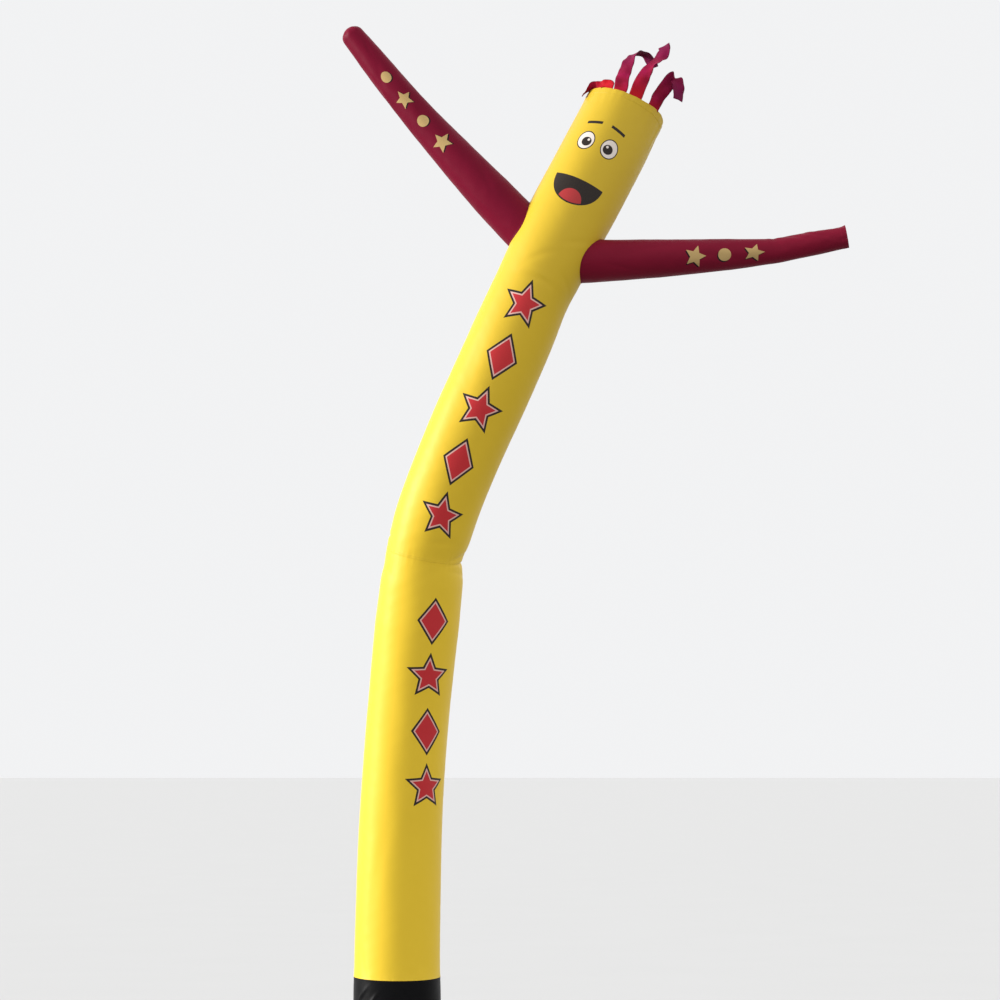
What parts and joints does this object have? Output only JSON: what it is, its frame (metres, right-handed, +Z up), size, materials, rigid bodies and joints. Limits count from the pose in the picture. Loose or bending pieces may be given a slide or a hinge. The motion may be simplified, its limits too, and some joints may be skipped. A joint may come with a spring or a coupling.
{
  "type": "inflatable air dancer",
  "caption": "Tall inflatable cloth tube figure, leaning, with two tapered sleeve arms, a vented head with streamer hair and a collar that fits over a blower outlet.",
  "frame": {"origin": "middle of the hem at the foot of the black collar, in the plane of the hem", "axes": "+Z up along the collar, +X towards the side the tube leans to, -Y towards the front with the face"},
  "size_m": [2.7023, 0.871, 5.7463],
  "materials": {
    "yellow_nylon": "satin",
    "red_nylon": "satin",
    "black_nylon": "satin"
  },
  "bodies": {
    "root": {"base_sleeve": "black_nylon", "body_lower": "yellow_nylon", "body_upper": "yellow_nylon", "body_chest": "yellow_nylon", "body_head": "yellow_nylon", "arm_left": "red_nylon", "arm_left_end": "red_nylon", "arm_right": "red_nylon", "streamer_1": "red_nylon", "streamer_2": "red_nylon", "streamer_3": "red_nylon", "streamer_4": "red_nylon"}
  },
  "joints": []
}
